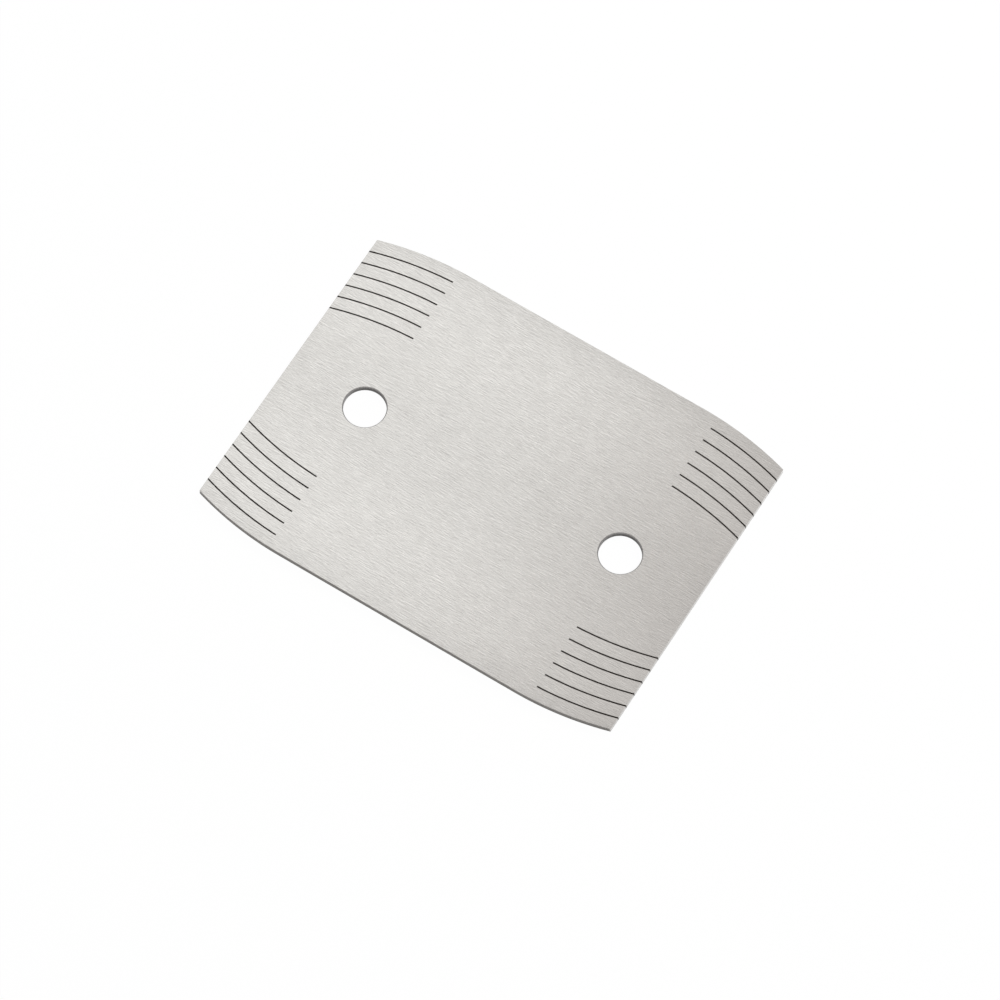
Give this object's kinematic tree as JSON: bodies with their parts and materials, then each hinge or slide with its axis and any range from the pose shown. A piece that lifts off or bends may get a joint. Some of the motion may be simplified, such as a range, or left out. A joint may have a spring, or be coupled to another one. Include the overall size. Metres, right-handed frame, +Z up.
{
  "type": "card scraper",
  "caption": "Flat steel card scraper with long edges that curve in at the ends, round through holes on its centre line and dark engraved guide lines at its corners.",
  "frame": {"origin": "centre of the card's underside, on the surface that it lies on", "axes": "+X along the card's length, +Y across its width, +Z up out of the face with the guide lines"},
  "size_m": [0.1016, 0.0762, 0.0016],
  "materials": {
    "card_steel": "fine straight grain along the length, satin",
    "line_oxide": "matt black-brown oxide left by the engraving"
  },
  "bodies": {
    "root": {"scraper_card": "card_steel", "guide_lines_back_left": "line_oxide", "guide_lines_back_right": "line_oxide", "guide_lines_front_left": "line_oxide", "guide_lines_front_right": "line_oxide"}
  },
  "joints": []
}
